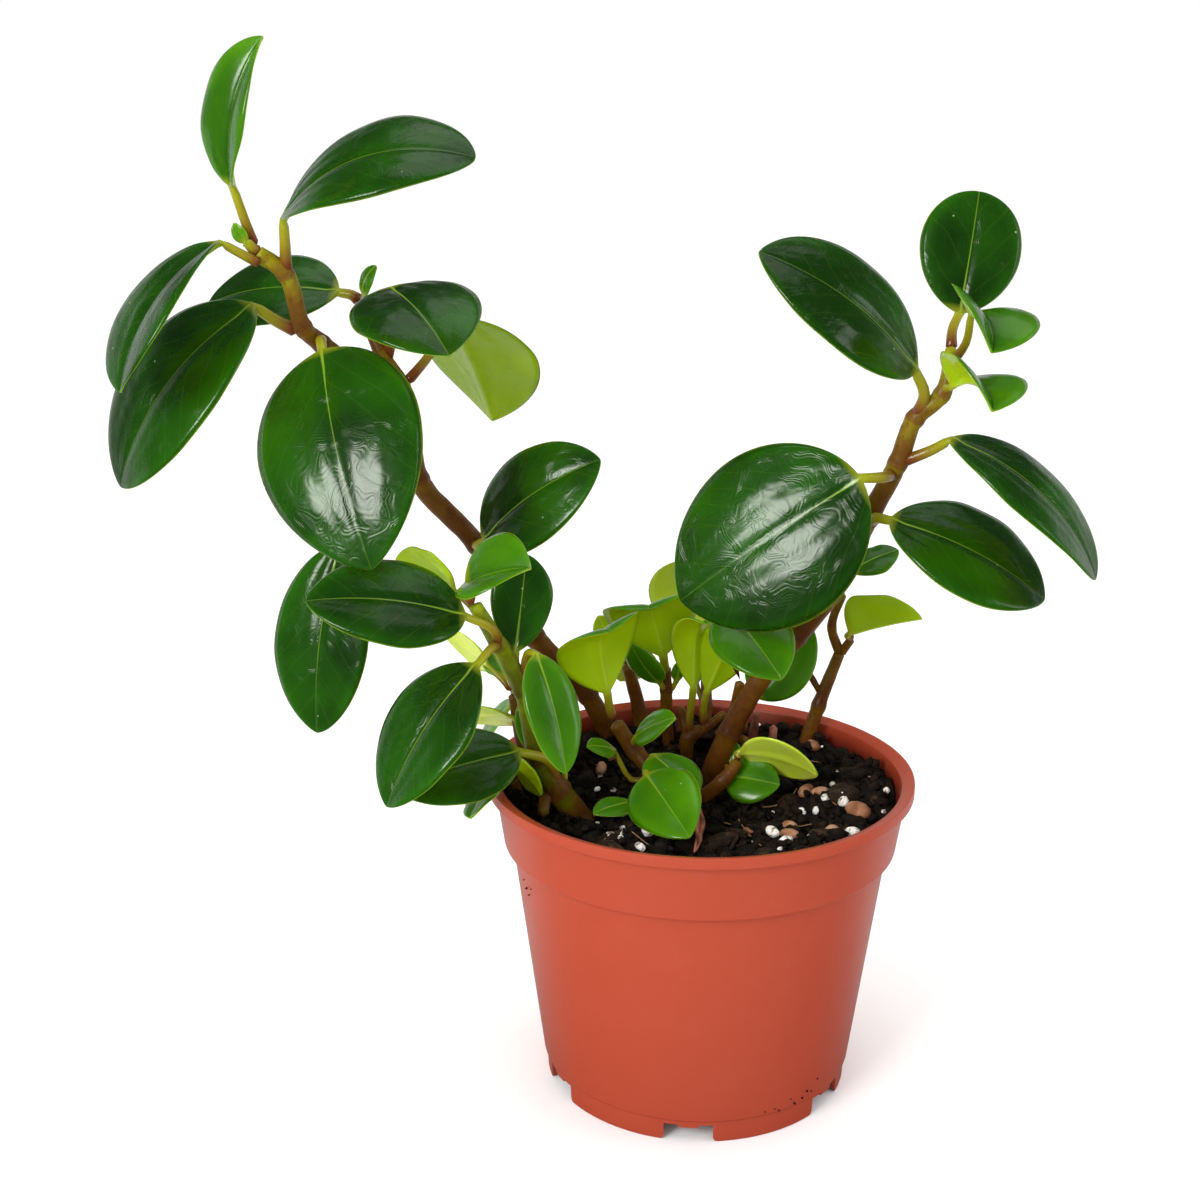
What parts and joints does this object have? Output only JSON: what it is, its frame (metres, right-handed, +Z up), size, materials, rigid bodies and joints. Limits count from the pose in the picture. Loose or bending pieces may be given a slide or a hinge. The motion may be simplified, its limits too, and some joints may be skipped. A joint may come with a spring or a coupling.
{
  "type": "potted peperomia",
  "caption": "House plant with thick, glossy round-oval leaves on fleshy ringed stems, leaning both ways out of a terracotta-coloured moulded nursery pot of peat mix.",
  "frame": {"origin": "the middle of the bounding box's bottom, on the surface that the pot stands on", "axes": "+Z up along the pot's axis, +X to the right and +Y away from the viewer as the plant is seen from its front; the pot's own axis stands 27.7 mm to the right of the origin, because the plant leans far to the left"},
  "size_m": [0.265, 0.13, 0.2885],
  "materials": {
    "pot": "satin",
    "mix": "matte",
    "stem": "satin",
    "leaf": "gloss",
    "young": "satin"
  },
  "bodies": {
    "root": {"pot": "pot", "potting_mix": "mix", "stem_left_back": "stem", "stem_left_front": "stem", "stem_right": "stem", "stem_right_thin": "stem", "leaf_left_back_1": "leaf", "leaf_left_back_2": "leaf", "leaf_left_back_3": "leaf", "leaf_left_back_4": "leaf", "leaf_left_back_5": "leaf", "leaf_left_back_6": "leaf", "leaf_left_back_7": "leaf", "leaf_left_back_8": "leaf", "leaf_left_back_9": "leaf", "leaf_left_back_10": "leaf", "leaf_left_front_1": "leaf", "leaf_left_front_2": "leaf", "leaf_left_front_3": "leaf", "leaf_left_front_4": "leaf", "leaf_left_front_5": "leaf", "leaf_left_front_6": "leaf", "leaf_left_front_7": "leaf", "leaf_right_1": "leaf", "leaf_right_2": "leaf", "leaf_right_3": "leaf", "leaf_right_4": "leaf", "leaf_right_5": "leaf", "leaf_right_6": "leaf", "leaf_right_7": "leaf", "leaf_right_thin_1": "leaf", "leaf_right_thin_2": "leaf", "young_shoot_front": "young", "young_shoot_middle": "young", "young_shoot_right": "young", "young_shoot_left": "young", "young_shoot_back": "young", "young_shoot_under_right": "young", "young_shoot_under_leaf": "young", "young_shoot_far_left": "young", "young_shoot_low_left": "young", "young_shoot_back_left": "young"}
  },
  "joints": []
}
